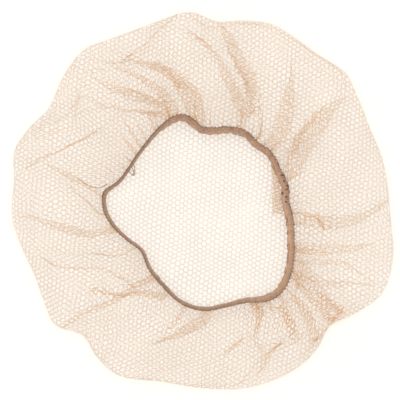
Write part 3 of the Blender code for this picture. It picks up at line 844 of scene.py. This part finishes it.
keep_cells(upper, in_upper)
flat = slacken(read_points(upper)[:, :2])
bearing = blank_polar(flat)[0]
spots, tone_and_shade = lay_upper(flat)
spots[:, :2] -= lying_centre
tone_and_shade = press_creases(spots, tone_and_shade)
spots[:, 2] += KNOT_THICK / 2
write_points(upper, spots)
upper.data.materials.append(tan_nylon)
thickness = KNOT_THICK * yarn("upper", bearing) * (1 + BUNCHED_SWELL * tone_and_shade)
knit_halves(upper, ("net_upper_right", "net_upper_left"), thickness, tone_and_shade)

# Tucked net
# Where the elastic is joined, a flap of the net's edge has slipped inside the mouth. It is
# folded double, hangs from under the elastic and ends in a straight fold.
TUCK_FROM = -8.0
TUCK_TO = 30.0
TUCK_EDGE = 0.0545
TUCK_LENGTH = 0.074
TUCK_DEPTH = 0.0125
TUCK_DROP = 0.0022
TUCK_CRUMPLE = 0.0003
TUCK_THREAD = 0.8
# The doubled flap is painted in the darker yarn colour, as shade between its two layers
TUCK_PAINTED_SHADE = 0.8

tuck = honeycomb("net_tuck", TUCK_LENGTH, 2 * TUCK_DEPTH)


def in_tuck(middles):
    along, hanging = np.abs(middles[:, 1]), np.abs(middles[:, 0])
    return (along < TUCK_LENGTH / 2) & (hanging < TUCK_DEPTH - CELL_PITCH / 2)


keep_cells(tuck, in_tuck)
flat = slacken(read_points(tuck)[:, :2])
bearing = TUCK_FROM + (TUCK_TO - TUCK_FROM) * (flat[:, 1] / TUCK_LENGTH + 0.5)
hung = np.clip(1 - np.abs(flat[:, 0]) / TUCK_DEPTH, 0, 1)[:, None]
band_turn = np.interp(bearing % 360, edge_bearings, mouth_lengths) / MOUTH_LENGTH
under = seat(band_turn, np.full(len(flat), -BAND_WIDTH / 4))
fold = under.copy()
fold[:, 0] = np.minimum(under[:, 0], TUCK_EDGE)
fold[:, 2] -= TUCK_DROP
spots = under + (fold - under) * hung
spots[:, 2] -= np.where(flat[:, 0] < 0, TUCK_DROP * np.sin(math.pi * hung[:, 0]), 0)
spots += np.random.default_rng(71).normal(size=spots.shape) * TUCK_CRUMPLE
spots[:, :2] -= lying_centre
write_points(tuck, spots)
knit(tuck, np.full(len(flat), TUCK_THREAD * KNOT_THICK), np.full(len(flat), TUCK_PAINTED_SHADE))
tuck.data.materials.append(tan_nylon)
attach(tuck, "root")
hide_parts("net_crown")

# Elastic
# A flat elastic knitted in lengthwise ribs of brown covered rubber runs round the mouth. It
# leans where the net pulls it, and its ends lap at the right, where they are tacked.
BAND_LAP = 0.040
LAP_BEARING = -14.4
LAP_RAMP = 0.0134
RIB_COUNT = 4
RIB_DEPTH = 0.30
LOOP_PITCH = 0.0016
LOOP_DEPTH = 0.14
EDGE_WAVER = 0.0011
WAVER_SHORT = 0.005
WAVER_LONG = 0.014
EDGE_LOOPS = 0.00012
# How much darker the grooves between ribs and the dips between loops are painted, as shade
RIB_GROOVE_SHADE = 0.30
LOOP_GAP_SHADE = 0.20
WORN_SHADE = 0.14
WORN_LENGTH = 0.008
STATION_LENGTH = 0.0005
SECTION_POINTS = 44
ELASTIC_LIGHT = (0.67, 0.47, 0.33, 1)
ELASTIC_DARK = (0.40, 0.20, 0.12, 1)

# How dark the elastic is painted at bearings, lighter at the left and bottom where it leans out
# of the light, as painted light, and how much darker its outer ribs are
ELASTIC_SHADE = (
    (0, 0.35, 0.05), (30, 0.45, 0.10), (60, 0.36, 0.25), (90, 0.36, 0.30), (108, 0.32, 0.25),
    (130, 0.05, 0.40), (170, 0.10, 0.45), (200, 0.08, 0.30), (230, 0.00, 0.40), (262, 0.00, 0.50),
    (290, 0.05, 0.40), (315, 0.32, 0.10), (340, 0.30, 0.00),
)
elastic_shade = round_table(ELASTIC_SHADE, ("bearing", "shade", "rim"))

strip_length = MOUTH_LENGTH + BAND_LAP
lap_start = float(np.interp(LAP_BEARING % 360, edge_bearings, mouth_lengths))


def on_band(run, inset, above):
    """Points on the elastic: run along it, inset from its middle, above its upper side."""
    run = np.asarray(run, float)
    middle, inward, upward = band_frame((lap_start + run) / MOUTH_LENGTH)
    raised = (BAND_THICK + SEAT_GAP) * (1 - ease((run - BAND_LAP - LAP_RAMP / 3) / LAP_RAMP))
    spots = middle + inward * np.asarray(inset)[..., None]
    spots = spots + upward * (np.asarray(above) + raised)[..., None]
    spots[..., :2] -= lying_centre
    return spots


def seal(piece):
    """Joins a mesh's double points, fills its open ends and turns its faces outwards."""
    shape = bmesh.new()
    shape.from_mesh(piece.data)
    bmesh.ops.remove_doubles(shape, verts=shape.verts, dist=0.00001)
    bmesh.ops.holes_fill(shape, edges=[edge for edge in shape.edges if edge.is_boundary])
    bmesh.ops.recalc_face_normals(shape, faces=shape.faces)
    shape.to_mesh(piece.data)
    shape.free()
    piece.data.shade_smooth()


bpy.ops.object.select_all(action="DESELECT")
bpy.ops.mesh.primitive_grid_add(
    x_subdivisions=round(strip_length / STATION_LENGTH), y_subdivisions=SECTION_POINTS, size=1.0
)
elastic = bpy.context.object
elastic.name = "elastic_knit"
flat = read_points(elastic)
run = (flat[:, 0] + 0.5) * strip_length
turn_round = 2 * math.pi * (flat[:, 1] + 0.5)
inset = -np.cos(turn_round) / 2
rib = 0.5 - 0.5 * np.cos(2 * math.pi * RIB_COUNT * (inset + 0.5))
parity = np.floor(RIB_COUNT * (inset + 0.5)) % 2
loops = 0.5 + 0.5 * np.sin(2 * math.pi * (run / LOOP_PITCH + 0.5 * parity))
profile = np.sqrt(np.clip(1 - np.abs(2 * inset) ** 8, 0, 1))
profile *= 1 - RIB_DEPTH * (1 - rib) - LOOP_DEPTH * rib * (1 - loops)
height = BAND_THICK / 2 * profile * np.sign(np.sin(turn_round))
height[np.abs(np.sin(turn_round)) < 1e-6] = 0
edge_waver = EDGE_LOOPS * np.sin(2 * math.pi * run / (2 * LOOP_PITCH)) * np.abs(2 * inset) ** 4
bends = ripples(run, 5 * inset, WAVER_SHORT, 83) + ripples(run, inset, WAVER_LONG, 84)
edge_waver += EDGE_WAVER * inset * bends
write_points(elastic, on_band(run, BAND_WIDTH * inset + edge_waver, height))
strip_bearing = np.interp((lap_start + run) % MOUTH_LENGTH, mouth_lengths, edge_bearings)
# Painted light and shade: lighter where the band leans, darker in grooves and on the outer ribs
shade = elastic_shade("shade", strip_bearing)
shade = shade + RIB_GROOVE_SHADE * (1 - rib) + LOOP_GAP_SHADE * rib * (1 - loops)
shade += elastic_shade("rim", strip_bearing) * ease(0.6 - 3 * inset)
shade = np.clip(shade + WORN_SHADE * ripples(run, 0 * run, WORN_LENGTH, 81), 0, 1)
shade_points(elastic, shade)
seal(elastic)
brown_elastic = yarn_material(
    "brown_elastic", ELASTIC_LIGHT, ELASTIC_DARK,
    patch_scale=60.0, patch_depth=0.12, fibre_scale=2600.0, bump=0.00012,
)
elastic.data.materials.append(brown_elastic)
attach(elastic, "root")
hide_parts("elastic_band")

# Stitching
# An overlock seam holds the net under the elastic: one thread runs zigzag over the band's
# outer half and a second one loops round its outer edge. Both are spun brown thread.
SEAM_PITCH = 0.0028
SEAM_THICK = 0.00064
SEAM_INSIDE = 0.0003
SEAM_OUTSIDE = 0.0030
SEAM_SPREAD = 0.0022
SEAM_STRAY = 0.0003
STRAY_LENGTH = 0.009
RIM_FULL = 0.4  # darkness of the outer ribs at which the zigzag is widest
DIP_START = 0.48  # in widths from the band's middle, where the zigzag dips over its edge
DIP_RUN = 0.06
DIP_DEPTH = 0.75
SWING_SHARPNESS = 0.97
LOOPER_LAG = 0.8
LOOPER_OUTSIDE = 0.00035
LOOPER_SWING = 0.00045
LOOPER_LEAN = 0.0008
LOOPER_RISE = 0.42
SEAM_LIGHT = (0.94, 0.72, 0.55, 1)
SEAM_DARK = (0.30, 0.11, 0.06, 1)
ZIGZAG_SHADE = 0.10
LOOPER_SHADE = 0.65
brown_thread = yarn_material(
    "brown_thread", SEAM_LIGHT, SEAM_DARK,
    patch_scale=520.0, patch_depth=0.95, fibre_scale=6000.0, bump=0.00004,
)


def thread_piece(name, lines, thickness, shade, material):
    """Threads along lines of points, as one piece of closed round tubes."""
    course = bpy.data.curves.new(name, "CURVE")
    course.dimensions = "3D"
    course.bevel_depth = thickness / 2
    course.bevel_resolution = 1
    course.use_fill_caps = True
    for points, closed in lines:
        line = course.splines.new("POLY")
        line.points.add(len(points) - 1)
        line.points.foreach_set("co", np.append(points, np.ones((len(points), 1)), axis=1).ravel())
        line.use_cyclic_u = closed
    piece = bpy.data.objects.new(name, course)
    bpy.context.scene.collection.objects.link(piece)
    bpy.ops.object.select_all(action="DESELECT")
    piece.select_set(True)
    bpy.context.view_layer.objects.active = piece
    bpy.ops.object.convert(target="MESH")
    seal(piece)
    shade_points(piece, np.full(len(piece.data.vertices), shade))
    piece.data.materials.clear()
    piece.data.materials.append(material)
    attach(piece, "root")


seam_turns = round(MOUTH_LENGTH / SEAM_PITCH)
seam_run = np.linspace(0, MOUTH_LENGTH, seam_turns * 8, endpoint=False)
seam_phase = 2 * math.pi * seam_run / MOUTH_LENGTH * seam_turns
seam_loose = SEAM_STRAY * ripples(seam_run, 0 * seam_run, STRAY_LENGTH, 91)
swing = np.arcsin(SWING_SHARPNESS * np.sin(seam_phase)) / math.asin(SWING_SHARPNESS)
seam_bearing = np.interp((lap_start + seam_run) % MOUTH_LENGTH, mouth_lengths, edge_bearings)
seam_spread = SEAM_SPREAD * np.clip(elastic_shade("rim", seam_bearing) / RIM_FULL, 0, 1)
seam_inside = SEAM_INSIDE - seam_spread
zigzag_inset = -(seam_inside + SEAM_OUTSIDE) / 2 - (SEAM_OUTSIDE - seam_inside) / 2 * swing
over_edge = np.clip((-zigzag_inset - DIP_START * BAND_WIDTH) / (DIP_RUN * BAND_WIDTH), 0, 1)
zigzag_above = BAND_THICK * (0.5 - DIP_DEPTH * over_edge) + SEAM_THICK * 0.35
zigzag = on_band(seam_run + seam_loose, zigzag_inset + seam_loose, zigzag_above)
looper_phase = seam_phase + LOOPER_LAG
looper_inset = -BAND_WIDTH / 2 - LOOPER_OUTSIDE + LOOPER_SWING * np.cos(looper_phase) + seam_loose
looper_above = BAND_THICK * LOOPER_RISE * np.sin(looper_phase) + 0.0001
looper = on_band(seam_run + LOOPER_LEAN * np.sin(looper_phase), looper_inset, looper_above)
thread_piece("seam_zigzag", [(zigzag, True)], SEAM_THICK, ZIGZAG_SHADE, brown_thread)
thread_piece("seam_looper", [(looper, True)], SEAM_THICK, LOOPER_SHADE, brown_thread)

# Tacks and loose threads
# Dark bar tacks hold the lap. The cut end of the elastic frays, and the seam's thread ends
# hang in small loops at the left and lower left of the mouth.
TACK_LENGTH = 0.0015
TACK_THICK = 0.00095
TACK_SLANT = 0.5
TACK_INSET = 0.42  # as far from the band's middle as a tack goes, in widths
TACK_LIGHT = (0.14, 0.075, 0.05, 1)
TACK_DARK = (0.05, 0.028, 0.02, 1)
TACK_SHADE = 0.6
TACKS = (  # as seen from above, in millimetres from the middle
    (63.6, 20.6), (65.2, 15.8), (67.6, 11.8), (66.9, 9.3), (62.9, 6.2), (66.9, 3.0), (66.8, -1.0),
)
FRAY_COUNT = 11
FRAY_LENGTH = 0.0018
FRAY_SHARES = (0.35, 1.0)
FRAY_SPLAY = 0.25
FRAY_DROOP = 0.2
FRAY_THICK = 0.0004
FRAY_SHADE = 0.0
END_THICK = 0.0007
END_SHADE = 0.35
END_WAVE = 0.0006
PROBE = 0.001

strip_runs = np.linspace(0, MOUTH_LENGTH, 4000)
strip_middles = on_band(strip_runs, 0 * strip_runs, 0 * strip_runs)


def band_place(x, y):
    """The run and inset of the place on the elastic that is seen at x and y."""
    gap = np.array([x, y]) - strip_middles[:, :2]
    nearest = np.hypot(*gap.T).argmin()
    run = strip_runs[nearest]
    way_in = on_band(run, PROBE, 0.0)[:2] - on_band(run, 0.0, 0.0)[:2]
    inset = gap[nearest] @ way_in / (way_in @ way_in) * PROBE
    return run, float(np.clip(inset, -TACK_INSET * BAND_WIDTH, TACK_INSET * BAND_WIDTH))


tacks = []
for number, (x, y) in enumerate(TACKS):
    run, inset = band_place(x / 1000, y / 1000)
    reach = np.linspace(-0.5, 0.5, 5) * TACK_LENGTH
    bow = BAND_THICK / 2 + TACK_THICK * 0.55 * np.cos(np.linspace(-1.35, 1.35, 5))
    slant = TACK_SLANT * (-1) ** number
    tacks.append((on_band(run + reach * slant, inset + reach, bow), False))
dark_thread = yarn_material(
    "dark_thread", TACK_LIGHT, TACK_DARK,
    patch_scale=500.0, patch_depth=0.3, fibre_scale=6000.0, bump=0.00004,
)
thread_piece("lap_tacks", tacks, TACK_THICK, TACK_SHADE, dark_thread)

frays = []
for number in range(FRAY_COUNT):
    inset = BAND_WIDTH * ((number + 0.5) / FRAY_COUNT - 0.5) * 0.94
    length = FRAY_LENGTH * chance.uniform(*FRAY_SHARES)
    out = np.linspace(-0.3, 1.0, 6) * length
    stray = chance.uniform(-FRAY_SPLAY, FRAY_SPLAY) * np.clip(out, 0, None)
    above = 0.55 * BAND_THICK - FRAY_DROOP * np.clip(out, 0, None)
    frays.append((on_band(-out, inset + stray, above), False))
thread_piece("cut_end_fray", frays, FRAY_THICK, FRAY_SHADE, brown_thread)


def loose_thread(points, height):
    """A thread end through points in millimetres, eased, at a height over the elastic."""
    route = np.array(points) / 1000
    steps = np.linspace(0, len(route) - 1, (len(route) - 1) * 8 + 1)
    number = np.minimum(steps.astype(int), len(route) - 2)
    part = (steps - number)[:, None]
    before, after = np.maximum(number - 1, 0), np.minimum(number + 2, len(route) - 1)
    way_out = (route[number + 1] - route[before]) / 2
    way_in = (route[after] - route[number]) / 2
    level = (
        route[number] * (1 + 2 * part) * (1 - part) ** 2
        + route[number + 1] * part**2 * (3 - 2 * part)
        + way_out * part * (1 - part) ** 2
        - way_in * part**2 * (1 - part)
    )
    nearest = np.hypot(*(level[:, None] - strip_middles[None, :, :2]).T).argmin(axis=0)
    rise = strip_middles[nearest, 2] + height + END_WAVE * np.sin(steps * 1.3)
    return np.append(level, rise[:, None], axis=1), False


loose = [
    loose_thread(((-58, 33), (-55, 29), (-54, 24), (-54.5, 20.5), (-57, 21.5), (-59, 24)), 0.0028),
    loose_thread(((-59, 24), (-57.5, 27), (-55.5, 25), (-55, 21.5), (-56.5, 20)), 0.0031),
    loose_thread(
        ((-36.5, -59), (-34, -61.5), (-33.5, -64.5), (-30.5, -65.5), (-29.5, -69)), 0.0028
    ),
    loose_thread(((-38, -61), (-35.5, -62), (-34, -66), (-31.5, -68), (-30, -72)), 0.0030),
    loose_thread(((-99.6, 18.1), (-90, 11.9), (-82, 10.2), (-75.5, 13.4)), 0.0075),
]
thread_piece("loose_threads", loose, END_THICK, END_SHADE, brown_thread)
